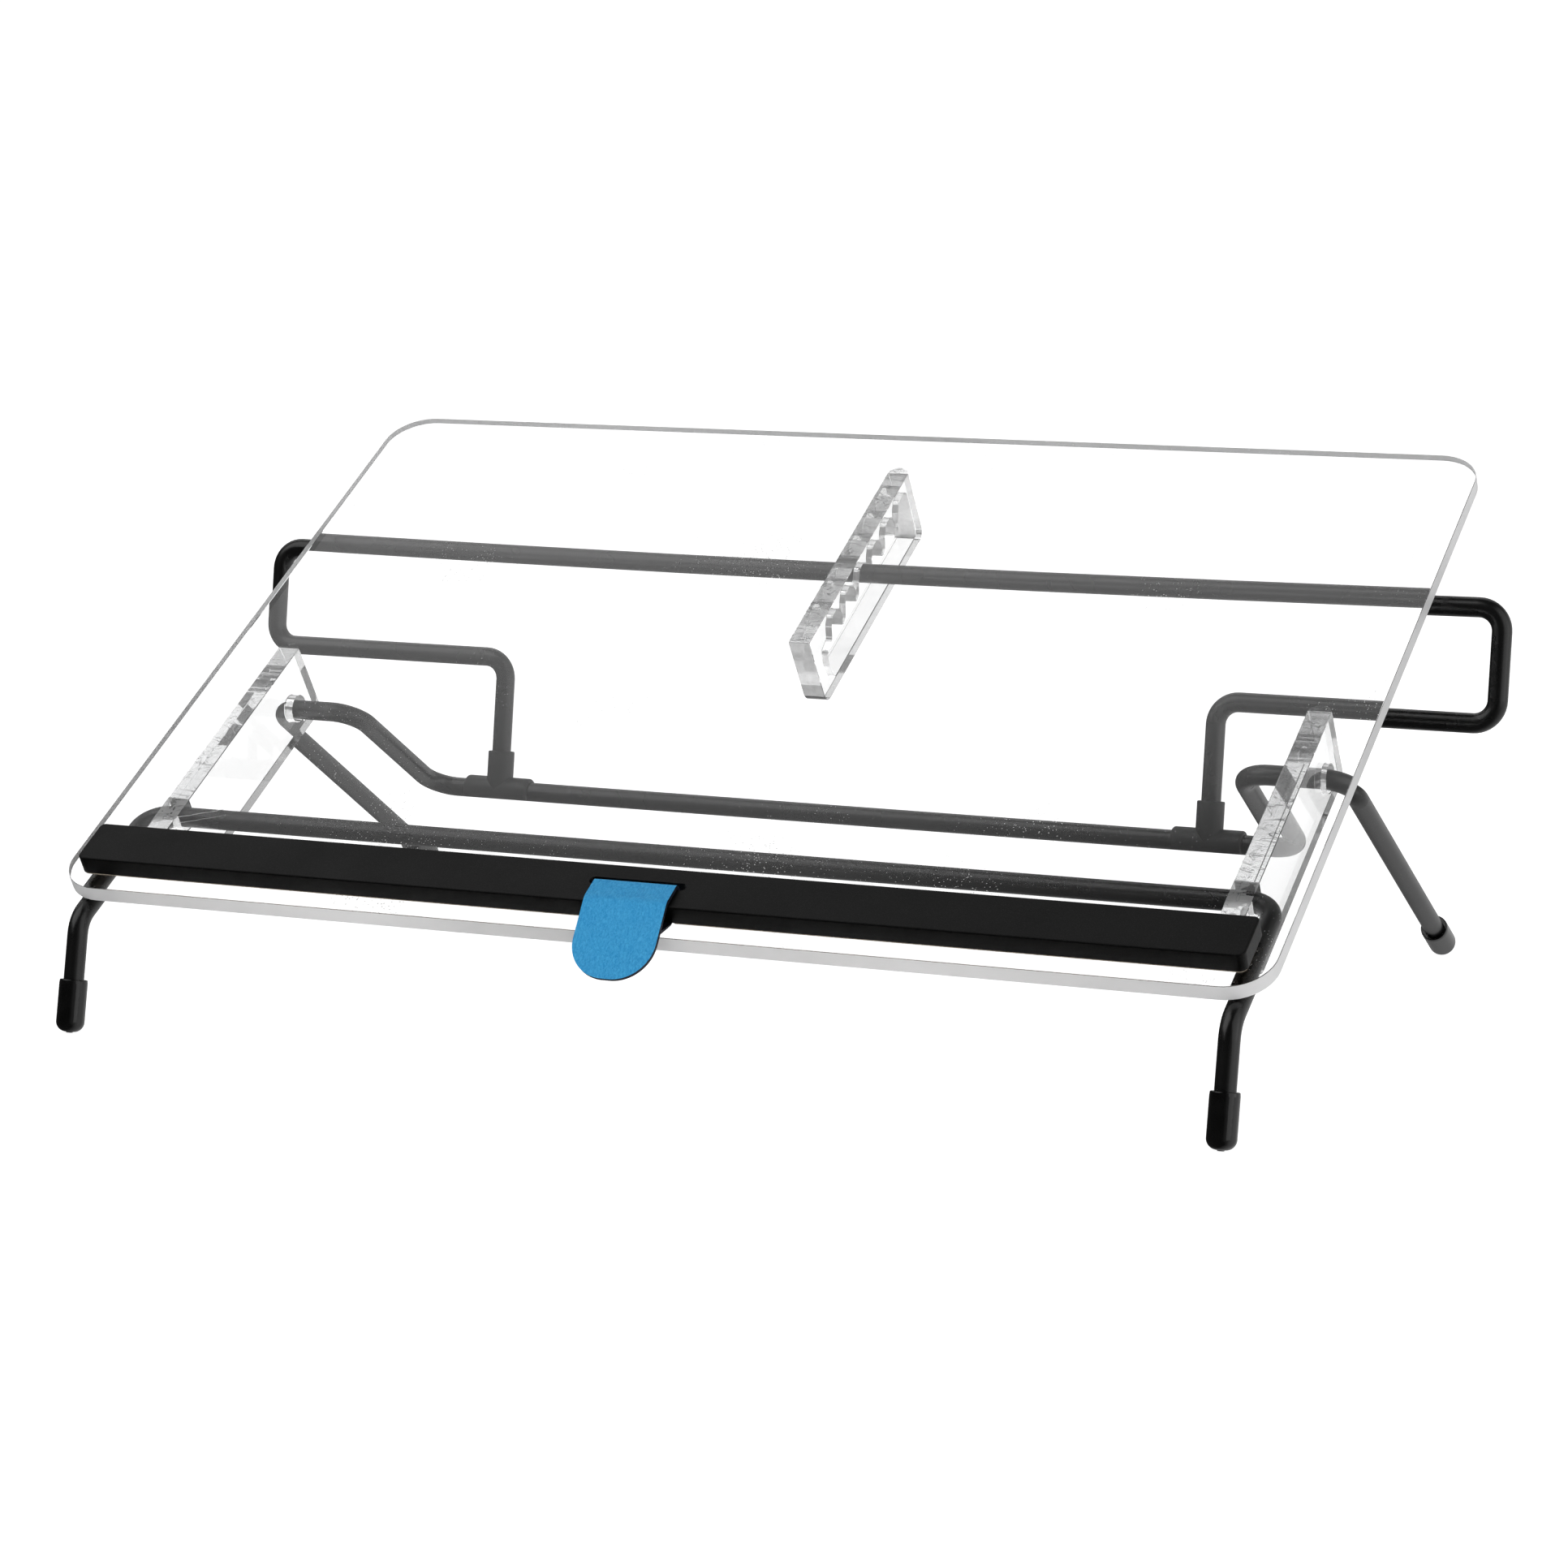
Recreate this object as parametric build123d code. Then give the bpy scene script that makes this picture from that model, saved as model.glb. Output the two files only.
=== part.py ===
from build123d import *
import os
from math import sin, cos, tan, atan2, radians, degrees, hypot, sqrt, pi

# ---------------------------------------------------------------------------
# Sloping clear document board on black bent-rod stands.
# Millimetres, +Z up, -Y towards the user, X across the width.
# Origin: on the table, in the middle of the footprint.
# "s" runs up the slope from the board's front top edge, "b" runs down into the
# board at right angles to its top face.
# ---------------------------------------------------------------------------

# --- driving dimensions ----------------------------------------------------
ROD_D = 8.0               # bent steel rod of all three stands
ROD_R = ROD_D / 2
BEND_R = 12.3             # centreline radius of the front stand's knees
BAR_BEND_R = 10.0         # where the front bar turns into its arms
REAR_BEND_R = 12.0
PROP_BEND_R = 9.3

SLOPE = 26.467            # board slope, degrees
BOARD_W = 495.5           # board width
BOARD_D = 335.0           # board depth along the slope
BOARD_T = 6.3             # board sheet thickness
BOARD_CORNER_R = 18.0
EDGE_R = 0.35             # flame-polished edge of the clear sheets

FRONT_EDGE_Y = -55.8      # front top edge of the board, from the front stand's bar
FRONT_EDGE_Z = 55.8
MID_Y = 87.223            # front stand's bar to the middle of the footprint

BOND_T = 0.2              # clear bonding strip between the board and the bracket and rack edges

BRACKET_IN, BRACKET_OUT = 218.5, 228.0    # inner and outer face of a side bracket
BRACKET_DEPTH = 40.0      # lower edge of a bracket, below the board's top face
SLOT_S0, SLOT_S1, SLOT_B = 51.9, 61.5, 17.0   # slot for the front stand's bar
PIVOT = (93.4, 97.6)      # rear stand's pivot line: behind the front bar, above the table
PIVOT_HOLE_D = 11.3
PIVOT_REST = (-0.5, 0.42)  # hole's centre from the rod's: the rod is pulled down and back in it

RACK_T = 9.2              # middle rack sheet
RACK_B = 39.4
POCKET_PITCH = 16.4       # spacing of the five height pockets
POCKET_S, POCKET_BB = 250.5, 15.6         # middle pocket, where the prop's bar lies
POCKET_CEIL = 4.35        # ceiling and rear wall of a pocket, from its centre

LEDGE_W, LEDGE_S0, LEDGE_S1 = 477.4, 8.3, 30.3
LEDGE_SLOT = (18.2, 22.3)  # slot in the ledge's top, along the slope
LEDGE_TOP, TAPE_T = 8.05, 0.55
TAB_W = 33.8
TAB_FACE_T, TAB_CORE_T = 0.40, 1.20

FRONT_LEG_X = 235.5       # centreline of the front stand's legs
FRONT_BAR_S, FRONT_BAR_B = 56.45, 11.35
FRONT_ARM_B = 10.75       # arms under the board, at the knee
FRONT_FOOT = (-66.5, 5.5)
FRONT_LEAN = 0.2503       # forward lean of the leg, mm per mm of height

REAR_LEG_X, REAR_IN_X, REAR_BAR_X = 235.8, 192.0, 190.6
REAR_BAR = (158.0, 54.4)  # long bar of the rear stand
REAR_FOOT = (229.9, 6.55)

TEE_X, WING_X = 159.2, 272.6
WING_UP = 56.7            # long bar to the prop's wings
PROP_END = (177.3, 154.9) # ends of the prop's top bar; its middle bows forward and down into the pocket

CAP_D, CAP_L, CAP_END = 11.1, 20.5, 2.0
TEE_D, TEE_L = 11.2, 30.0

# --- frame helpers ---------------------------------------------------------
CS, SN = cos(radians(SLOPE)), sin(radians(SLOPE))


def yz(s, b):
    """A point given along and below the board, as (y, z) measured from the front bar."""
    return (FRONT_EDGE_Y + CS * s + SN * b, FRONT_EDGE_Z + SN * s - CS * b)


def V3(x, y, z):
    return Vector(x, y - MID_Y, z)


SIDE = Plane(origin=V3(0, FRONT_EDGE_Y, FRONT_EDGE_Z), x_dir=(0, CS, SN), z_dir=(-1, 0, 0))
TOP = Plane(origin=V3(0, FRONT_EDGE_Y, FRONT_EDGE_Z), x_dir=(1, 0, 0), z_dir=(0, -SN, CS))


def rounded(pts):
    """Closed face through the points (u, v, radius), each corner turned with its radius."""
    n = len(pts)
    starts, mids, ends = [], [], []
    for i in range(n):
        (ax, ay, _), (px, py, r), (cx, cy, _) = pts[i - 1], pts[i], pts[(i + 1) % n]
        if r <= 0:
            starts.append((px, py)); mids.append(None); ends.append((px, py))
            continue
        l1, l2 = hypot(ax - px, ay - py), hypot(cx - px, cy - py)
        d1, d2 = ((ax - px) / l1, (ay - py) / l1), ((cx - px) / l2, (cy - py) / l2)
        h = hypot(d1[0] + d2[0], d1[1] + d2[1])
        half = (pi - 2 * atan2(h / 2, sqrt(max(0.0, 1 - h * h / 4)))) / 2   # half the inside angle
        t = r / tan(half)
        q = r / sin(half)
        m = ((d1[0] + d2[0]) / h, (d1[1] + d2[1]) / h)
        c = (px + m[0] * q, py + m[1] * q)
        starts.append((px + d1[0] * t, py + d1[1] * t))
        mids.append((c[0] - m[0] * r, c[1] - m[1] * r))
        ends.append((px + d2[0] * t, py + d2[1] * t))
    edges = []
    for i in range(n):
        a, b = ends[i - 1], starts[i]
        if hypot(a[0] - b[0], a[1] - b[1]) > 1e-6:
            edges.append(Edge.make_line((a[0], a[1], 0), (b[0], b[1], 0)))
        if mids[i] is not None:
            s, m, e = starts[i], mids[i], ends[i]
            edges.append(Edge.make_three_point_arc((s[0], s[1], 0), (m[0], m[1], 0), (e[0], e[1], 0)))
    return Face(Wire(edges))


def plate_x(face, x0, x1):
    """Stand a face drawn in (s, b) between x0 and x1 (x0 < x1)."""
    f = SIDE.offset(-x1) * face
    return extrude(f, amount=x1 - x0, dir=(-1, 0, 0))


def rod(points, radii):
    path = FilletPolyline(*points, radius=radii)
    sec = Plane(origin=path @ 0, z_dir=path % 0) * Circle(ROD_R)
    return sweep(sec, path=path)


def mirror_x(p):
    return mirror(p, about=Plane.YZ)


parts = {}

# --- clear board -----------------------------------------------------------
board = TOP * (Location((0, BOARD_D / 2, 0)) * RectangleRounded(BOARD_W, BOARD_D, BOARD_CORNER_R))
board = extrude(board, amount=-BOARD_T)
board = fillet(board.edges(), EDGE_R)
parts["top_plate"] = board

# --- side brackets: slot for the front bar, hole for the rear stand ---------
bb = BOARD_T + BOND_T
slot_r = (SLOT_S1 - SLOT_S0) / 2 - 0.01
bracket_face = rounded([
    (40.2, bb, 0.8), (SLOT_S0, bb, 0.6), (SLOT_S0, SLOT_B, slot_r), (SLOT_S1, SLOT_B, slot_r),
    (SLOT_S1, bb, 0.6), (165.0, bb, 0.6), (167.5, BRACKET_DEPTH, 4.0),
    (49.0, BRACKET_DEPTH, 6.0), (41.6, 27.0, 10.0)])
hole_yz = (PIVOT[0] + PIVOT_REST[0], PIVOT[1] + PIVOT_REST[1])
hole = Plane(origin=V3(BRACKET_IN - 5, *hole_yz), z_dir=(1, 0, 0)) * Circle(PIVOT_HOLE_D / 2)
hole = extrude(hole, amount=20)
bracket = plate_x(bracket_face, BRACKET_IN, BRACKET_OUT) - hole
try:
    b2 = chamfer(bracket.edges().filter_by(Axis.X, reverse=True), 0.25)
    if b2.is_valid:
        bracket = b2
except Exception as err:
    print("bracket edges left sharp:", err)
parts["side_bracket_right"] = bracket
parts["side_bracket_left"] = mirror_x(bracket)

# --- middle rack with five pockets -----------------------------------------
rack_face = rounded([(188.5, bb, 0.6), (311.0, bb, 0.6), (313.2, RACK_B, 4.0), (191.6, RACK_B, 5.5)])
k = POCKET_CEIL
win = [(204.2, 34.7, 2.0), (201.6, 27.0, 3.0), (202.9, 21.2, 2.2), (209.2, 19.7, 2.5),
       (211.2, 14.2, 2.5), (214.4, POCKET_BB - k, 2.6)]
for j in range(-2, 3):
    c = POCKET_S + POCKET_PITCH * j
    last = j == 2
    win += [(c + k, POCKET_BB - k, 4.3), (c + k + 0.2, POCKET_BB + 2.6, 1.2), (c + 2.3, POCKET_BB + 4.6, 0.7)]
    if last:
        win += [(c + 4.9, POCKET_BB + 7.4, 0.9), (c + 7.7, POCKET_BB + 4.6, 2.0)]
    else:
        win += [(c + 4.6, POCKET_BB + 5.6, 1.5), (c + 7.4, POCKET_BB + 4.4, 2.0)]
    win += [(c + 10.1, POCKET_BB - 1.0, 3.0), (c + 13.2, POCKET_BB - k, 3.0)]
win += [(305.4, POCKET_BB - k, 3.0), (306.0, 34.7, 3.0)]
window = rounded(win)
rack = plate_x(rack_face, -RACK_T / 2, RACK_T / 2) - plate_x(window, -RACK_T, RACK_T)
try:
    r2 = chamfer(rack.edges().filter_by(Axis.X, reverse=True), 0.2)
    if r2.is_valid:
        rack = r2
except Exception as err:
    print("rack edges left sharp:", err)
parts["height_rack"] = rack

# --- clear strips that bond the brackets and the rack to the board ----------
def film(x0, x1, s0, s1, bead):
    w = x1 - x0
    r = w / 2 - 0.01
    pts = [(x0, s0, 0.5), (x1, s0, 0.5)]
    pts += [(x1, s1 + bead, r), (x0, s1 + bead, r)] if bead else [(x1, s1, 0.5), (x0, s1, 0.5)]
    return extrude(TOP.offset(-BOARD_T) * rounded(pts), amount=-BOND_T)


bond = film(BRACKET_IN, BRACKET_OUT, 41.2, 164.0, 4.2)      # bridges the slot, over the bar
parts["bracket_bond_right"] = bond
parts["bracket_bond_left"] = mirror_x(bond)
parts["rack_bond"] = film(-RACK_T / 2, RACK_T / 2, 189.3, 310.4, 4.2)

# --- ledge bar, with the slot that the pull tab comes out of ----------------
lw = LEDGE_W / 2
ledge_out = rounded([(-lw, LEDGE_S0, 3.0), (lw, LEDGE_S0, 3.0), (lw, LEDGE_S1, 2.2), (-lw, LEDGE_S1, 2.2)])
ledge = extrude(TOP.offset(TAPE_T) * ledge_out, amount=LEDGE_TOP - TAPE_T)
up = Vector(0, -SN, CS)
tops = sorted(ledge.faces(), key=lambda f: (f.center() - V3(0, FRONT_EDGE_Y, FRONT_EDGE_Z)).dot(up))
ledge = fillet(tops[-1].edges(), 0.7)
SLOT_W = TAB_W + 6.0
slot_cut = extrude(TOP.offset(TAPE_T - 1) * rounded([
    (-SLOT_W / 2, LEDGE_SLOT[0], 1.9), (SLOT_W / 2, LEDGE_SLOT[0], 1.9),
    (SLOT_W / 2, LEDGE_SLOT[1], 1.9), (-SLOT_W / 2, LEDGE_SLOT[1], 1.9)]),
    amount=LEDGE_TOP + 2)
ledge = ledge - slot_cut
parts["ledge_bar"] = ledge

tape_out = rounded([(-lw + 0.4, LEDGE_S0 + 0.2, 2.8), (-TAB_W / 2 - 0.8, LEDGE_S0 + 0.2, 0.3),
                    (-TAB_W / 2 - 0.8, 23.0, 0.3), (TAB_W / 2 + 0.8, 23.0, 0.3),
                    (TAB_W / 2 + 0.8, LEDGE_S0 + 0.2, 0.3), (lw - 0.4, LEDGE_S0 + 0.2, 2.8),
                    (lw - 0.4, LEDGE_S1 - 0.3, 2.0), (-lw + 0.4, LEDGE_S1 - 0.3, 2.0)])
parts["ledge_tape"] = extrude(TOP * tape_out, amount=TAPE_T)

# --- pull tab: out of the slot, over the ledge and down in front ------------
# profile of the outside, in (s, b)
TS, TB = 20.25, -10.0
tip = (-20.1, 4.5)
knee = (10.2, -10.72)                       # the tongue's line, run on above the ledge
ln = hypot(tip[0] - knee[0], tip[1] - knee[1])
dirv = ((tip[0] - knee[0]) / ln, (tip[1] - knee[1]) / ln)      # down the tongue
nrm = (-dirv[1], dirv[0])                                       # towards the ledge is -nrm
if nrm[1] > 0:
    nrm = (-nrm[0], -nrm[1])                                    # outwards: away from the board


def tab_path(off, s_in, b_in, at_tip=0.0):
    """Corner points of the tab's surface 'off' inside its outer face, with radii."""
    ext = (tip[0] + dirv[0] * at_tip - nrm[0] * off, tip[1] + dirv[1] * at_tip - nrm[1] * off)
    # the line along the tongue meets the level line over the ledge
    t = (TB + off - ext[1]) / dirv[1]
    kx = ext[0] + dirv[0] * t
    return [(s_in - off, b_in), (s_in - off, TB + off), (kx, TB + off), ext]


o = tab_path(0.0, TS, -1.2)
i1 = tab_path(TAB_FACE_T, TS, -1.2)
i2 = tab_path(TAB_FACE_T + TAB_CORE_T, TS, -0.8)


def layer(a, c, ra, rc):
    """Band between two surfaces, outer first."""
    pts = [(a[0][0], a[0][1], 0), (a[1][0], a[1][1], ra[0]), (a[2][0], a[2][1], ra[1]), (a[3][0], a[3][1], 0),
           (c[3][0], c[3][1], 0), (c[2][0], c[2][1], rc[1]), (c[1][0], c[1][1], rc[0]), (c[0][0], c[0][1], 0)]
    return rounded(pts)


hw = TAB_W / 2
face_band = plate_x(layer(o, i1, (2.3, 5.2), (1.9, 4.8)), -hw, hw)
core_band = plate_x(layer(i1, i2, (1.9, 4.8), (0.7, 3.6)), -hw, hw)
# outline of the tongue, cut square to its face: straight sides and a round end
c_end = (tip[0] - dirv[0] * (hw - 0.9), tip[1] - dirv[1] * (hw - 0.9))
TONGUE = Plane(origin=V3(0, *yz(*c_end)),
               x_dir=(1, 0, 0),
               z_dir=Vector(0, CS * nrm[0] + SN * nrm[1], SN * nrm[0] - CS * nrm[1]))
down = Vector(0, CS * dirv[0] + SN * dirv[1], SN * dirv[0] - CS * dirv[1])
sgn = 1 if TONGUE.y_dir.dot(down) > 0 else -1
end_r = hw - 0.9
outline = rounded([(-hw, -60 * sgn, 0), (hw, -60 * sgn, 0), (hw, end_r * sgn, hw - 1.6), (-hw, end_r * sgn, hw - 1.6)])
keep = extrude(TONGUE * outline, amount=20, both=True)
# the strap that runs back under the ledge from the tongue
strap = rounded([(17.2, -0.04, 0), (7.3, -0.04, 3.0), (-1.45, -3.05, 0), (-0.4, -3.95, 0), (7.2, -0.5, 3.0), (17.2, -0.5, 0)])
strap = plate_x(strap, -hw, hw)
parts["tab_face"] = face_band & keep
parts["tab_backing"] = (core_band & keep) + strap

# --- front stand -----------------------------------------------------------
bar_y, bar_z = yz(FRONT_BAR_S, FRONT_BAR_B)
# knee: the arm's line under the board meets the leg's line
fy, fz = FRONT_FOOT
a0 = yz(FRONT_BAR_S, FRONT_BAR_B)
slope_off = (FRONT_BAR_B - FRONT_ARM_B) / (FRONT_BAR_S + 6.8)
adir = (CS * -1 + SN * -slope_off, SN * -1 - CS * -slope_off)
# a0 + t*adir on y = fy + lean*(z - fz)
t = (fy + FRONT_LEAN * (a0[1] - fz) - a0[0]) / (adir[0] - FRONT_LEAN * adir[1])
knee_y, knee_z = a0[0] + t * adir[0], a0[1] + t * adir[1]
lv = Vector(0, fy - knee_y, fz - knee_z).normalized()
FRONT_E = 5.35            # foot centre to the end of the cap
rod_end_f = (fy + lv.Y * (FRONT_E - CAP_END), fz + lv.Z * (FRONT_E - CAP_END))
X = FRONT_LEG_X
pts = [V3(-X, *rod_end_f), V3(-X, knee_y, knee_z), V3(-X, *a0), V3(X, *a0), V3(X, knee_y, knee_z), V3(X, *rod_end_f)]
parts["front_stand_rod"] = rod(pts, [BEND_R, BAR_BEND_R, BAR_BEND_R, BEND_R])

# --- rear stand ------------------------------------------------------------
P = PIVOT
rv = Vector(0, REAR_FOOT[0] - P[0], REAR_FOOT[1] - P[1]).normalized()
REAR_E = 6.75
rod_end_r = (REAR_FOOT[0] + rv.Y * (REAR_E - CAP_END), REAR_FOOT[1] + rv.Z * (REAR_E - CAP_END))
# the long bar lies in the plane of the legs
lb = hypot(REAR_BAR[0] - P[0], REAR_BAR[1] - P[1])
BAR = (P[0] + rv.Y * lb, P[1] + rv.Z * lb)
pts = [V3(-REAR_LEG_X, *rod_end_r), V3(-REAR_LEG_X, *P), V3(-REAR_IN_X, *P), V3(-REAR_BAR_X, *BAR),
       V3(REAR_BAR_X, *BAR), V3(REAR_IN_X, *P), V3(REAR_LEG_X, *P), V3(REAR_LEG_X, *rod_end_r)]
parts["rear_stand_rod"] = rod(pts, [REAR_BEND_R] * 6)

# --- prop frame ------------------------------------------------------------
MID_BAR = yz(POCKET_S, POCKET_BB)           # middle of the top bar
pv = Vector(0, PROP_END[0] - BAR[0], PROP_END[1] - BAR[1])
PROP_H = pv.length
pv = pv.normalized()


def prop(x, w):
    return V3(x, BAR[0] + pv.Y * w, BAR[1] + pv.Z * w)


end_w = 5.15
bow = hypot(MID_BAR[0] - PROP_END[0], MID_BAR[1] - PROP_END[1])
corner = 1.785                               # corner of the bowed bar, in bows below its ends
reach = 240.0
bow_r = reach / (corner * bow / WING_X)
mid_pt = V3(0, PROP_END[0] + corner * (MID_BAR[0] - PROP_END[0]), PROP_END[1] + corner * (MID_BAR[1] - PROP_END[1]))
pts = [prop(-TEE_X, end_w), prop(-TEE_X, WING_UP), prop(-WING_X, WING_UP), prop(-WING_X, PROP_H), mid_pt,
       prop(WING_X, PROP_H), prop(WING_X, WING_UP), prop(TEE_X, WING_UP), prop(TEE_X, end_w)]
parts["prop_frame_rod"] = rod(pts, [PROP_BEND_R] * 3 + [bow_r] + [PROP_BEND_R] * 3)

# --- foot caps -------------------------------------------------------------
def cap(x, end_yz, d):
    """Moulded cap on a rod end: end_yz is the rod's end face, d points out of it."""
    ro, ri = CAP_D / 2, ROD_R + 0.03
    prof = rounded([(0, 0, 0), (ri, 0, 0), (ri, -(CAP_L - CAP_END), 0), (ro - 0.15, -(CAP_L - CAP_END), 0.4),
                    (ro, -(CAP_L - CAP_END) + 1.5, 0.8), (ro, CAP_END, 4.0), (1.45, CAP_END, 0.15),
                    (1.25, CAP_END + 0.35, 0.2), (0, CAP_END + 0.35, 0)])
    solid = revolve(Plane.XZ * prof, axis=Axis.Z)
    pl = Plane(origin=V3(x, *end_yz), x_dir=(1, 0, 0), z_dir=d)
    solid = pl * solid
    floor = Pos(x, end_yz[0] - MID_Y, -20) * Box(60, 60, 40)
    return solid - floor


parts["front_foot_cap_right"] = cap(X, rod_end_f, lv)
parts["front_foot_cap_left"] = cap(-X, rod_end_f, lv)
parts["rear_foot_cap_right"] = cap(REAR_LEG_X, rod_end_r, rv)
parts["rear_foot_cap_left"] = cap(-REAR_LEG_X, rod_end_r, rv)

# --- tees: a socket on each lower end of the prop, snapped on the long bar ---
def tee(x):
    ro, bore = TEE_D / 2, ROD_R + 0.1
    body = Rot(0, 90, 0) * Cylinder(ro, TEE_L)
    body = fillet(body.edges(), 1.1)
    post = Cylinder(ro, 16.6, align=(Align.CENTER, Align.CENTER, Align.MIN))
    post = fillet(post.edges().sort_by(Axis.Z)[-1:], 0.5)
    body = body + post
    body = body - Rot(0, 90, 0) * Cylinder(bore, TEE_L + 2)
    body = body - Pos(0, 0, end_w) * Cylinder(ROD_R + 0.03, 20, align=(Align.CENTER, Align.CENTER, Align.MIN))
    # open side of the saddle: a mouth narrower than the rod
    mouth = 6.6
    cut = Pos(0, 0, -10) * Box(TEE_L + 2, mouth, 20)
    flare = Pos(0, 0, -8.6) * Box(TEE_L + 2, 20, 10)
    body = body - cut - flare
    pl = Plane(origin=V3(x, *BAR), x_dir=(1, 0, 0), z_dir=pv)
    return pl * body


parts["prop_tee_right"] = tee(TEE_X)
parts["prop_tee_left"] = tee(-TEE_X)

# --- write -----------------------------------------------------------------
os.makedirs("parts", exist_ok=True)
for old in os.listdir("parts"):
    if old.endswith(".step"):
        os.remove(os.path.join("parts", old))
lo = [1e9] * 3
hi = [-1e9] * 3
for name, shape in parts.items():
    if isinstance(shape, (list, tuple)):
        shape = Compound(children=list(shape))
    export_step(shape, "parts/" + name + ".step")
    bx = shape.bounding_box()
    for i, (a, c) in enumerate(zip((bx.min.X, bx.min.Y, bx.min.Z), (bx.max.X, bx.max.Y, bx.max.Z))):
        lo[i] = min(lo[i], a)
        hi[i] = max(hi[i], c)
    print(name, len(shape.solids()), "solid(s)", round(shape.volume, 1), "mm3", "valid", shape.is_valid,
          [round(v, 2) for v in (bx.min.X, bx.min.Y, bx.min.Z, bx.max.X, bx.max.Y, bx.max.Z)])
print("box", [round(v, 3) for v in lo], [round(v, 3) for v in hi])
print("middle of the depth is off by", round((lo[1] + hi[1]) / 2, 3))
print("front knee", knee_y, knee_z, "rear bar", BAR, "prop height", PROP_H, "pivot", P)
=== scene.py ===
import bpy, bmesh, math, random
from mathutils import Vector, Matrix

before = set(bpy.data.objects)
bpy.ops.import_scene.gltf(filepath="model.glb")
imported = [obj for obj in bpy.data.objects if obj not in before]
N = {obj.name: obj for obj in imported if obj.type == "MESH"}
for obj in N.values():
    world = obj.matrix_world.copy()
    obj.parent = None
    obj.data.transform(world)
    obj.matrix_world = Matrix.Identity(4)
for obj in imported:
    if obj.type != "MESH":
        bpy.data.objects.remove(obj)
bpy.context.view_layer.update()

# --- places shared with the frame (metres) ----------------------------------
MID = 0.087223
SLOPE = math.radians(26.467)
CS, SN = math.cos(SLOPE), math.sin(SLOPE)


def on_board(x, s, b):
    """World point x across, s up the slope from the front top edge, b below the top face (metres)."""
    return Vector((x, -0.0558 - MID + CS * s + SN * b, 0.0558 + SN * s - CS * b))


BOARD = Matrix(((1, 0, 0), (0, CS, SN), (0, -SN, CS))).transposed()   # board axes: across, up the slope, up

# ----------------------------------------------------------------------------
# camera: fitted to the photograph's edges (1932 x 1932 frame)
# ----------------------------------------------------------------------------
cam_data = bpy.data.cameras.new("camera")
cam = bpy.data.objects.new("camera", cam_data)
bpy.context.scene.collection.objects.link(cam)
az, el, roll = 0.40504846, 0.20350189, -0.01641689
fwd = Vector((-math.sin(az) * math.cos(el), math.cos(az) * math.cos(el), -math.sin(el)))
right = Vector((math.cos(az), math.sin(az), 0))
up = right.cross(fwd)
r2 = right * math.cos(roll) + up * math.sin(roll)
u2 = up * math.cos(roll) - right * math.sin(roll)
m = Matrix((r2, u2, -fwd)).transposed().to_4x4()
m.translation = Vector((0.66782350, -1.43917026 - MID, 0.43215149))
cam.matrix_world = m
cam_data.sensor_fit = "HORIZONTAL"
cam_data.sensor_width = 36.0
cam_data.lens = 5251.455 / 1932 * 36
cam_data.shift_x = (966 - 991.738) / 1932
cam_data.shift_y = (953.592 - 966) / 1932
cam_data.clip_start = 0.05
cam_data.clip_end = 200
cam_data.dof.use_dof = False
bpy.context.scene.camera = cam

# ----------------------------------------------------------------------------
# node helpers
# ----------------------------------------------------------------------------
def material(name):
    mat = bpy.data.materials.new(name)
    mat.use_nodes = True
    nt = mat.node_tree
    p = nt.nodes["Principled BSDF"]
    return mat, nt, p


def node(nt, kind, **kw):
    n = nt.nodes.new(kind)
    for k, v in kw.items():
        if k == "inputs":
            for a, b in v.items():
                n.inputs[a].default_value = b
        else:
            setattr(n, k, v)
    return n


def ramp(nt, src, stops):
    r = nt.nodes.new("ShaderNodeValToRGB")
    el_ = r.color_ramp.elements
    while len(el_) < len(stops):
        el_.new(0.5)
    for e, (pos, col) in zip(el_, stops):
        e.position = pos
        e.color = col if len(col) == 4 else (*col, 1)
    nt.links.new(src, r.inputs[0])
    return r


def grey(v):
    return (v, v, v, 1)


def obj_coords(nt):
    return nt.nodes.new("ShaderNodeTexCoord").outputs["Object"]


def noise(nt, vec, scale, detail=3.0, rough=0.5, dist=0.0):
    n = node(nt, "ShaderNodeTexNoise", inputs={"Scale": scale, "Detail": detail, "Roughness": rough, "Distortion": dist})
    nt.links.new(vec, n.inputs["Vector"])
    return n.outputs["Fac"]


def mathn(nt, op, a, b=None, c=None, clamp=False):
    n = nt.nodes.new("ShaderNodeMath")
    n.operation = op
    n.use_clamp = clamp
    for i, v in enumerate((a, b, c)):
        if v is None:
            continue
        if isinstance(v, (int, float)):
            n.inputs[i].default_value = v
        else:
            nt.links.new(v, n.inputs[i])
    return n.outputs[0]


def bump(nt, p, height, strength, distance):
    b = node(nt, "ShaderNodeBump", inputs={"Strength": strength, "Distance": distance})
    nt.links.new(height, b.inputs["Height"])
    nt.links.new(b.outputs["Normal"], p.inputs["Normal"])
    return b


def assign(names, mat):
    for n in names:
        o = N[n]
        if not o.material_slots:
            o.data.materials.append(mat)
        for s in o.material_slots:
            s.material = mat


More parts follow.
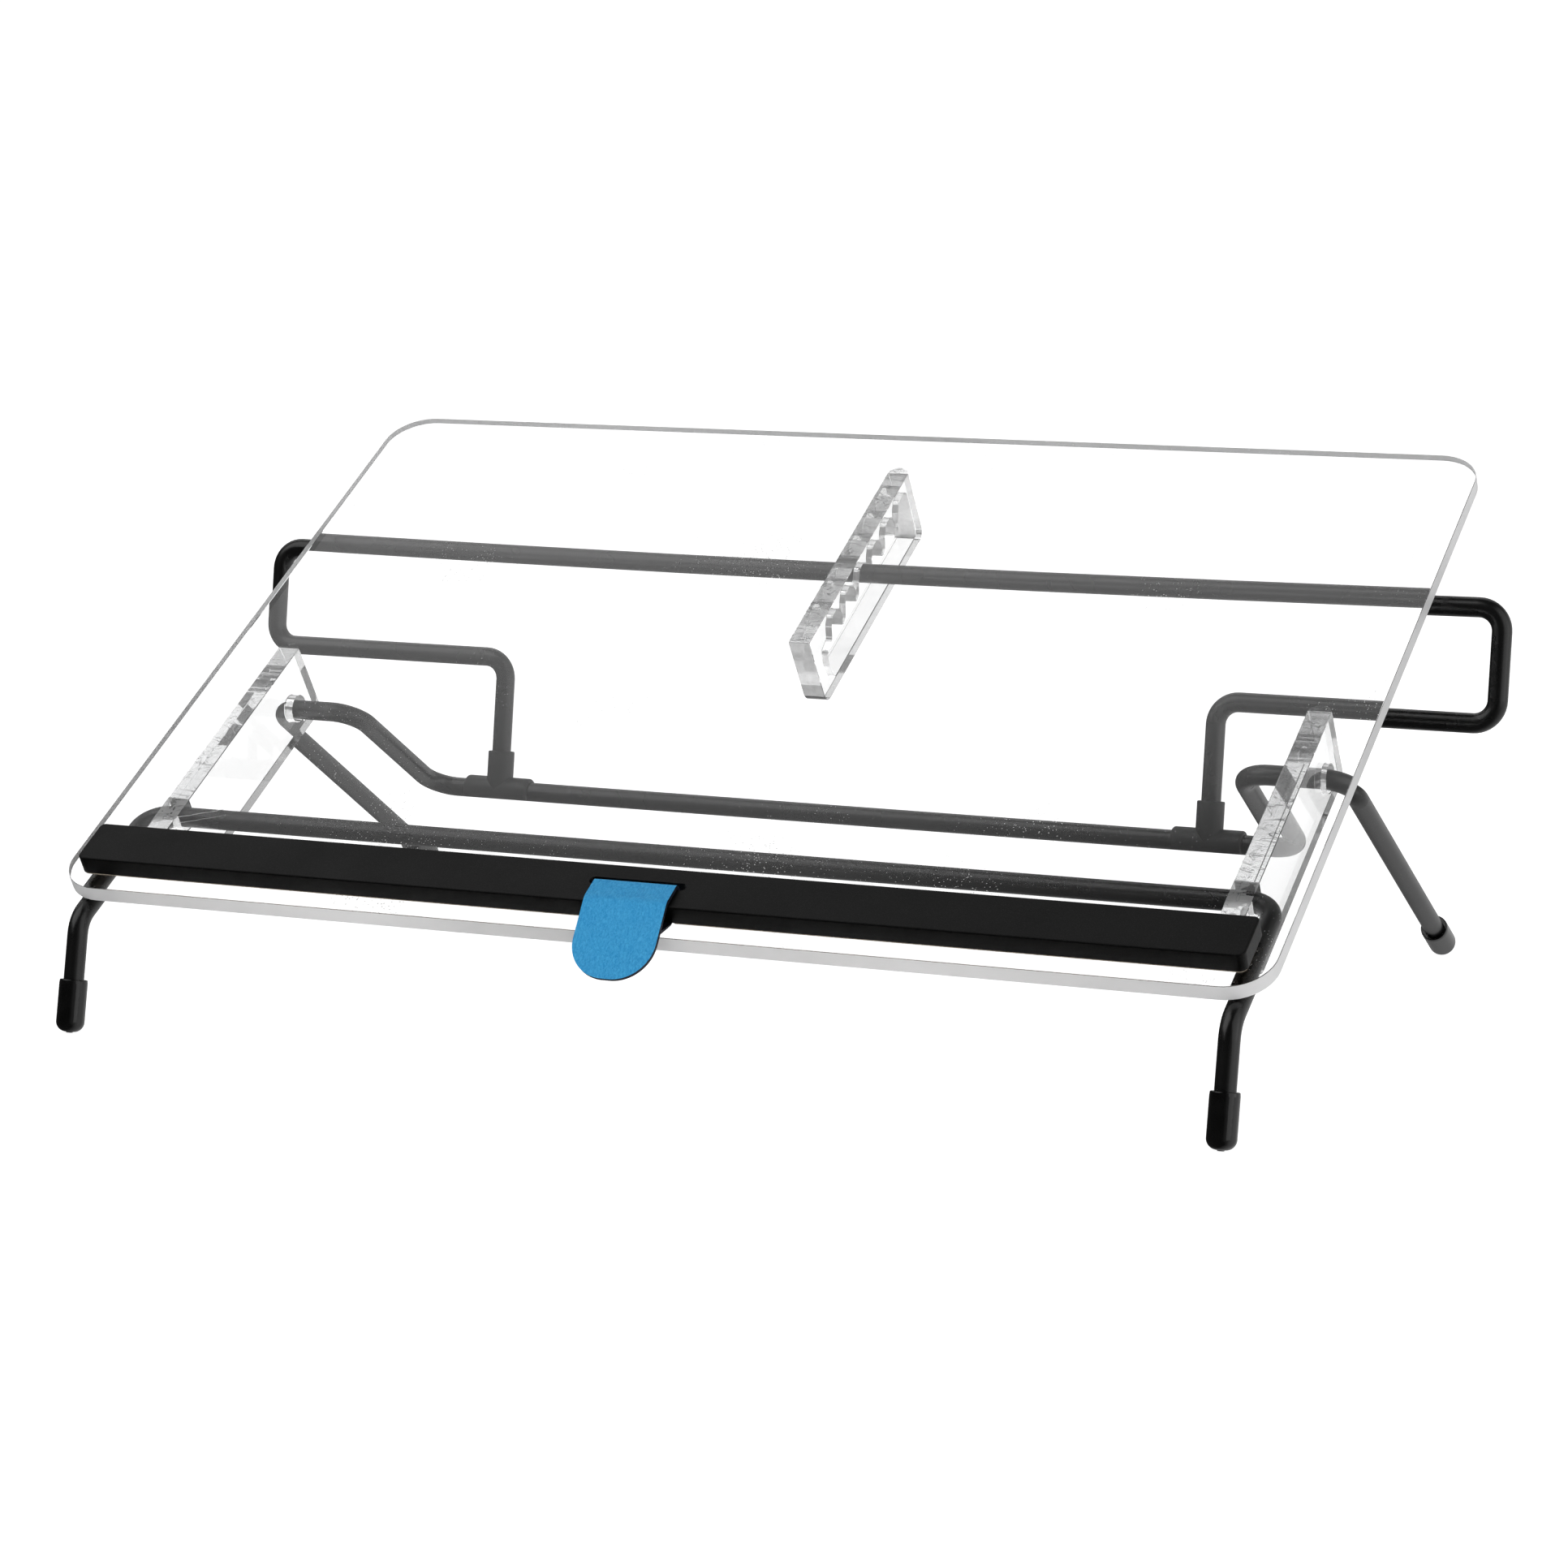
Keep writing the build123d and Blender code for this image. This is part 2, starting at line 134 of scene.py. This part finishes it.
# ----------------------------------------------------------------------------
# materials
# ----------------------------------------------------------------------------
def clear_acrylic(name, dust=False, face_normal=(0, -SN, CS), satin=0.42, matt=0.80, edge_col=(0.73, 0.73, 0.735, 1)):
    """Clear cast sheet: polished faces, satin sawn edges, faint absorption inside."""
    mat, nt, p = material(name)
    p.inputs["IOR"].default_value = 1.49
    vec = obj_coords(nt)
    # how far a surface turns away from the sheet's polished faces
    nrm = nt.nodes.new("ShaderNodeTexCoord").outputs["Normal"]
    dot = node(nt, "ShaderNodeVectorMath", operation="DOT_PRODUCT")
    nt.links.new(nrm, dot.inputs[0])
    dot.inputs[1].default_value = face_normal
    edge = mathn(nt, "LESS_THAN", mathn(nt, "ABSOLUTE", dot.outputs["Value"]), 0.6)
    streak = noise(nt, vec, 220.0, 3.0, 0.6)
    satin_r = mathn(nt, "MULTIPLY", edge, mathn(nt, "MULTIPLY_ADD", streak, 0.12, satin - 0.06))
    # the sawn edge scatters: part of it is a pale matt skin
    skin = mathn(nt, "MULTIPLY", edge, mathn(nt, "MULTIPLY_ADD", streak, 0.14, matt - 0.07))
    if not dust:
        # front-facing cut ends are sawn, the long edges are flame-polished
        ends = node(nt, "ShaderNodeVectorMath", operation="DOT_PRODUCT")
        nt.links.new(nrm, ends.inputs[0])
        ends.inputs[1].default_value = (0, -1, 0)
        sawn = mathn(nt, "GREATER_THAN", ends.outputs["Value"], 0.75)
        skin = mathn(nt, "MAXIMUM", skin, mathn(nt, "MULTIPLY", sawn, mathn(nt, "MULTIPLY_ADD", streak, 0.5, 0.30)))
    tint = node(nt, "ShaderNodeMixRGB", blend_type="MIX")
    tint.inputs[1].default_value = (1, 1, 1, 1)
    soft = noise(nt, vec, 11.0, 2.0, 0.5)
    cast = ramp(nt, soft, [(0.32, tuple(0.85 * c for c in edge_col[:3])), (0.62, tuple(min(1.0, 1.09 * c) for c in edge_col[:3]))])
    nt.links.new(cast.outputs[0], tint.inputs[2])
    nt.links.new(edge, tint.inputs[0])
    nt.links.new(tint.outputs[0], p.inputs["Base Color"])
    if dust:
        # fine pale dust lying on the sheet, thicker in patches
        vor = node(nt, "ShaderNodeTexVoronoi", feature="F1", inputs={"Scale": 820.0, "Randomness": 1.0})
        nt.links.new(vec, vor.inputs["Vector"])
        patch = noise(nt, vec, 13.0, 2.0)
        size = mathn(nt, "MULTIPLY", mathn(nt, "SUBTRACT", patch, 0.40, clamp=True), 0.80)
        rnd = node(nt, "ShaderNodeSeparateColor")
        nt.links.new(vor.outputs["Color"], rnd.inputs[0])
        pick = mathn(nt, "GREATER_THAN", rnd.outputs[0], 0.70)
        size = mathn(nt, "MULTIPLY", size, pick)
        speck = mathn(nt, "LESS_THAN", vor.outputs["Distance"], size)
        speck = mathn(nt, "MULTIPLY", speck, 0.6)
        # one fine hair-like scratch near the left bracket's front end
        xyz = nt.nodes.new("ShaderNodeSeparateXYZ")
        nt.links.new(vec, xyz.inputs[0])
        along = node(nt, "ShaderNodeVectorMath", operation="DOT_PRODUCT")
        nt.links.new(vec, along.inputs[0])
        along.inputs[1].default_value = (0, CS, SN)
        wander = mathn(nt, "MULTIPLY_ADD", noise(nt, vec, 260.0, 2.0), 0.0016, 0.0467 - 0.1031 - 0.0008 + 0.395 * 0.215)
        line = mathn(nt, "MULTIPLY_ADD", xyz.outputs["X"], 0.395, wander)
        line = mathn(nt, "ABSOLUTE", mathn(nt, "SUBTRACT", along.outputs["Value"], line))
        line = mathn(nt, "LESS_THAN", line, 0.00022)
        line = mathn(nt, "MULTIPLY", line, mathn(nt, "GREATER_THAN", xyz.outputs["X"], -0.2155))
        line = mathn(nt, "MULTIPLY", line, mathn(nt, "LESS_THAN", xyz.outputs["X"], -0.1975))
        speck = mathn(nt, "MAXIMUM", speck, mathn(nt, "MULTIPLY", line, 0.5))
        nt.links.new(mathn(nt, "SUBTRACT", 1.0, mathn(nt, "MAXIMUM", speck, skin)), p.inputs["Transmission Weight"])
        nt.links.new(mathn(nt, "MAXIMUM", speck, satin_r), p.inputs["Roughness"])
    else:
        nt.links.new(mathn(nt, "SUBTRACT", 1.0, skin), p.inputs["Transmission Weight"])
        nt.links.new(satin_r, p.inputs["Roughness"])
    vol = node(nt, "ShaderNodeVolumeAbsorption", inputs={"Color": (0.90, 0.91, 0.915, 1), "Density": 12.0})
    nt.links.new(vol.outputs[0], nt.nodes["Material Output"].inputs["Volume"])
    return mat


sheet = clear_acrylic("clear_sheet_dusty", dust=True)
side = clear_acrylic("clear_side_plate", face_normal=(1, 0, 0), satin=0.02, matt=0.03, edge_col=(0.99, 0.99, 0.992, 1))
assign(["top_plate"], sheet)
assign(["side_bracket_left", "side_bracket_right", "height_rack"], side)


def powder_coat():
    mat, nt, p = material("black_powder_coat")
    vec = obj_coords(nt)
    n1 = noise(nt, vec, 900.0, 3.0, 0.6)
    n2 = noise(nt, vec, 40.0, 3.0, 0.55)
    r = ramp(nt, n2, [(0.3, grey(0.0025)), (0.7, grey(0.0045))])
    nt.links.new(r.outputs[0], p.inputs["Base Color"])
    rr = ramp(nt, n2, [(0.25, grey(0.24)), (0.75, grey(0.32))])
    nt.links.new(rr.outputs[0], p.inputs["Roughness"])
    bump(nt, p, n1, 0.15, 0.00008)
    p.inputs["Specular IOR Level"].default_value = 0.5
    return mat


rod = powder_coat()
assign(["front_stand_rod", "rear_stand_rod", "prop_frame_rod"], rod)


def vinyl():
    mat, nt, p = material("glossy_black_vinyl")
    vec = obj_coords(nt)
    n1 = noise(nt, vec, 160.0, 2.0, 0.5)
    n2 = noise(nt, vec, 700.0, 2.0, 0.5)
    r = ramp(nt, n1, [(0.3, grey(0.0012)), (0.7, grey(0.003))])
    nt.links.new(r.outputs[0], p.inputs["Base Color"])
    rr = ramp(nt, n1, [(0.3, grey(0.07)), (0.75, grey(0.16))])
    nt.links.new(rr.outputs[0], p.inputs["Roughness"])
    bump(nt, p, n2, 0.12, 0.0002)
    return mat


assign(["front_foot_cap_left", "front_foot_cap_right", "rear_foot_cap_left", "rear_foot_cap_right"], vinyl())


def tee_plastic():
    mat, nt, p = material("matt_black_plastic")
    vec = obj_coords(nt)
    n1 = noise(nt, vec, 1400.0, 2.0, 0.6)
    n2 = noise(nt, vec, 90.0, 2.0, 0.5)
    r = ramp(nt, n2, [(0.3, grey(0.004)), (0.7, grey(0.009))])
    nt.links.new(r.outputs[0], p.inputs["Base Color"])
    rr = ramp(nt, n2, [(0.3, grey(0.45)), (0.7, grey(0.6))])
    nt.links.new(rr.outputs[0], p.inputs["Roughness"])
    bump(nt, p, n1, 0.3, 0.00008)
    return mat


assign(["prop_tee_left", "prop_tee_right"], tee_plastic())


def ledge_finish():
    mat, nt, p = material("black_anodised_bar")
    vec = obj_coords(nt)
    n1 = noise(nt, vec, 2200.0, 3.0, 0.7)
    n2 = noise(nt, vec, 30.0, 4.0, 0.6)
    r = ramp(nt, n1, [(0.35, grey(0.0010)), (0.55, grey(0.0040)), (0.78, grey(0.020))])
    # painted shade: the forward-facing front face gets its base colour cut to 0.4, so it reads darker than the top the
    # way it does in shade; the bar's finish is the same black all round
    face = node(nt, "ShaderNodeVectorMath", operation="DOT_PRODUCT")
    nt.links.new(nt.nodes.new("ShaderNodeTexCoord").outputs["Normal"], face.inputs[0])
    face.inputs[1].default_value = (0, -CS, -SN)
    front = mathn(nt, "GREATER_THAN", face.outputs["Value"], 0.7)
    front_face_painted_shade = mathn(nt, "MULTIPLY_ADD", front, -0.6, 1.0)
    scale = node(nt, "ShaderNodeVectorMath", operation="SCALE")
    nt.links.new(r.outputs[0], scale.inputs[0])
    nt.links.new(front_face_painted_shade, scale.inputs["Scale"])
    nt.links.new(scale.outputs[0], p.inputs["Base Color"])
    rr = ramp(nt, n2, [(0.3, grey(0.42)), (0.7, grey(0.55))])
    nt.links.new(rr.outputs[0], p.inputs["Roughness"])
    p.inputs["Specular IOR Level"].default_value = 0.15
    bump(nt, p, n1, 0.25, 0.00008)
    return mat


assign(["ledge_bar"], ledge_finish())


def tape():
    mat, nt, p = material("tape_fibre")
    vec = obj_coords(nt)
    n1 = noise(nt, vec, 1200.0, 4.0, 0.7)
    r = ramp(nt, n1, [(0.3, (0.22, 0.17, 0.12)), (0.7, (0.62, 0.54, 0.44))])
    nt.links.new(r.outputs[0], p.inputs["Base Color"])
    p.inputs["Roughness"].default_value = 0.85
    bump(nt, p, n1, 0.6, 0.0004)
    return mat


assign(["ledge_tape"], tape())


def leathercloth(name, dark, light, rough, rim=None):
    mat, nt, p = material(name)
    vec = obj_coords(nt)
    mp = node(nt, "ShaderNodeMapping")
    nt.links.new(vec, mp.inputs["Vector"])
    mp.inputs["Scale"].default_value = (1.6, 0.9, 0.9)
    n1 = noise(nt, mp.outputs[0], 900.0, 3.0, 0.6, 0.9)
    n2 = noise(nt, vec, 120.0, 3.0, 0.5)
    r = ramp(nt, n1, [(0.36, dark), (0.64, light)])
    if rim is None:
        nt.links.new(r.outputs[0], p.inputs["Base Color"])
    else:
        # the cut sides and the cut lower end show the dark core colour
        sep_n = nt.nodes.new("ShaderNodeSeparateXYZ")
        nt.links.new(nt.nodes.new("ShaderNodeTexCoord").outputs["Normal"], sep_n.inputs[0])
        cut = mathn(nt, "GREATER_THAN", mathn(nt, "ABSOLUTE", sep_n.outputs["X"]), 0.5)
        cut = mathn(nt, "MAXIMUM", cut, mathn(nt, "LESS_THAN", sep_n.outputs["Z"], -0.3))
        mix = node(nt, "ShaderNodeMixRGB", blend_type="MIX")
        nt.links.new(cut, mix.inputs[0])
        nt.links.new(r.outputs[0], mix.inputs[1])
        mix.inputs[2].default_value = (*rim, 1)
        nt.links.new(mix.outputs[0], p.inputs["Base Color"])
    rr = ramp(nt, n2, [(0.3, grey(rough - 0.06)), (0.7, grey(rough + 0.08))])
    nt.links.new(rr.outputs[0], p.inputs["Roughness"])
    p.inputs["Specular IOR Level"].default_value = 0.25
    bump(nt, p, n1, 0.8, 0.0004)
    return mat


assign(["tab_face"], leathercloth("blue_leathercloth", (0.030, 0.36, 0.80), (0.080, 0.54, 0.98), 0.6, rim=(0.006, 0.010, 0.022)))
assign(["tab_backing"], leathercloth("dark_backing", (0.004, 0.005, 0.012), (0.014, 0.016, 0.030), 0.6))


def cement():
    """Cured clear strip: thin dark outlines of runs and bubbles over a faint haze."""
    mat, nt, p = material("clear_cement")
    vec = obj_coords(nt)
    mp = node(nt, "ShaderNodeMapping")
    nt.links.new(vec, mp.inputs["Vector"])
    mp.inputs["Scale"].default_value = (0.30, 1.0, 1.0)
    across = noise(nt, mp.outputs[0], 150.0, 2.0, 0.5, 1.2)
    blobs = noise(nt, vec, 130.0, 2.0, 0.5, 0.8)

    def outline(src, level, wide):
        d = mathn(nt, "ABSOLUTE", mathn(nt, "SUBTRACT", src, level))
        return mathn(nt, "SUBTRACT", 1.0, mathn(nt, "DIVIDE", d, wide), clamp=True)

    rim = mathn(nt, "MAXIMUM", outline(across, 0.44, 0.012), mathn(nt, "MULTIPLY", outline(blobs, 0.62, 0.012), 0.9))
    rim = mathn(nt, "MAXIMUM", rim, mathn(nt, "MULTIPLY", outline(across, 0.62, 0.012), 0.7))
    col = ramp(nt, rim, [(0.1, grey(0.97)), (0.9, grey(0.16))])
    nt.links.new(col.outputs[0], p.inputs["Base Color"])
    a = mathn(nt, "MULTIPLY_ADD", rim, 0.62, 0.01)
    # where the strip bridges the slot over the front bar it is milkier
    along = node(nt, "ShaderNodeVectorMath", operation="DOT_PRODUCT")
    nt.links.new(vec, along.inputs[0])
    along.inputs[1].default_value = (0, CS, SN)
    near = mathn(nt, "LESS_THAN", along.outputs["Value"], 0.0622 - 0.1031)
    near = mathn(nt, "MULTIPLY", near, mathn(nt, "GREATER_THAN", blobs, 0.46))
    milky = mathn(nt, "MULTIPLY", near, 0.55)
    nt.links.new(mathn(nt, "MAXIMUM", a, milky), p.inputs["Alpha"])
    p.inputs["IOR"].default_value = 1.4
    nt.links.new(mathn(nt, "MULTIPLY_ADD", blobs, 0.3, 0.20), p.inputs["Roughness"])
    bump(nt, p, across, 0.4, 0.0003)
    return mat


assign(["bracket_bond_left", "bracket_bond_right", "rack_bond"], cement())

# ----------------------------------------------------------------------------
# floor and light
# ----------------------------------------------------------------------------
bm = bmesh.new()
bmesh.ops.create_grid(bm, x_segments=4, y_segments=4, size=60)
me = bpy.data.meshes.new("floor")
bm.to_mesh(me)
bm.free()
floor = bpy.data.objects.new("floor", me)
bpy.context.scene.collection.objects.link(floor)
fm, nt, p = material("pale_floor")
p.inputs["Base Color"].default_value = (0.6, 0.6, 0.6, 1)
p.inputs["Roughness"].default_value = 0.9
p.inputs["Specular IOR Level"].default_value = 0.1
p.inputs["Emission Color"].default_value = (1, 1, 1, 1)
p.inputs["Emission Strength"].default_value = 0.95
me.materials.append(fm)
floor.visible_glossy = False

world = bpy.data.worlds.new("studio")
bpy.context.scene.world = world
world.use_nodes = True
nt = world.node_tree
bg = nt.nodes["Background"]
tc = nt.nodes.new("ShaderNodeTexCoord")
sep = nt.nodes.new("ShaderNodeSeparateXYZ")
nt.links.new(tc.outputs["Generated"], sep.inputs[0])
# a broad soft light high behind the left corner, a pale sweep low behind the right, dark towards the camera


def step(nt, src, lo, hi, top):
    mr = node(nt, "ShaderNodeMapRange", interpolation_type="SMOOTHSTEP")
    nt.links.new(src, mr.inputs["Value"])
    mr.inputs["From Min"].default_value = lo
    mr.inputs["From Max"].default_value = hi
    mr.inputs["To Min"].default_value = 0.0
    mr.inputs["To Max"].default_value = top
    return mr.outputs[0]


def aim(nt, d):
    v = node(nt, "ShaderNodeVectorMath", operation="DOT_PRODUCT")
    nt.links.new(tc.outputs["Generated"], v.inputs[0])
    n = math.sqrt(sum(c * c for c in d))
    v.inputs[1].default_value = tuple(c / n for c in d)
    return v.outputs["Value"]


sx, sy, sz = sep.outputs["X"], sep.outputs["Y"], sep.outputs["Z"]
t1 = mathn(nt, "MULTIPLY_ADD", sx, -0.25, mathn(nt, "SUBTRACT", sy, 0.09))
key = step(nt, t1, 0.29, 0.47, 0.84)
t2 = mathn(nt, "MULTIPLY_ADD", sy, -0.5, sz)
key = mathn(nt, "MULTIPLY", key, mathn(nt, "SUBTRACT", 1.0, step(nt, t2, 0.662, 0.70, 1.0)))
key = mathn(nt, "MULTIPLY", key, step(nt, sz, 0.20, 0.55, 1.0))
key = mathn(nt, "MULTIPLY", key, mathn(nt, "SUBTRACT", 1.0, step(nt, sx, -0.15, 0.35, 1.0)))
low_right = step(nt, aim(nt, (0.62, 0.62, -0.48)), 0.15, 0.95, 0.75)
side_right = step(nt, aim(nt, (0.93, -0.25, 0.12)), 0.55, 0.99, 0.26)
tot = mathn(nt, "ADD", key, low_right)
tot = mathn(nt, "ADD", tot, side_right)
tot = mathn(nt, "ADD", tot, 0.045)
nt.links.new(tot, bg.inputs["Strength"])
bg.inputs["Color"].default_value = (1, 1, 1, 1)


def area(name, loc, target, w, h, power):
    d = bpy.data.lights.new(name, "AREA")
    d.shape = "RECTANGLE"
    d.size, d.size_y = w, h
    d.energy = power
    o = bpy.data.objects.new(name, d)
    o.location = loc
    o.rotation_euler = (Vector(target) - Vector(loc)).to_track_quat("-Z", "Y").to_euler()
    bpy.context.scene.collection.objects.link(o)
    return o


area("softbox_left", (-1.3, -0.9, 1.9), (0, 0, 0.1), 2.2, 2.4, 24)
area("softbox_right", (1.9, -0.4, 1.1), (0, 0, 0.1), 2.4, 2.6, 14)

sc = bpy.context.scene
sc.view_settings.view_transform = "Standard"
sc.view_settings.look = "None"
sc.view_settings.exposure = 0.0
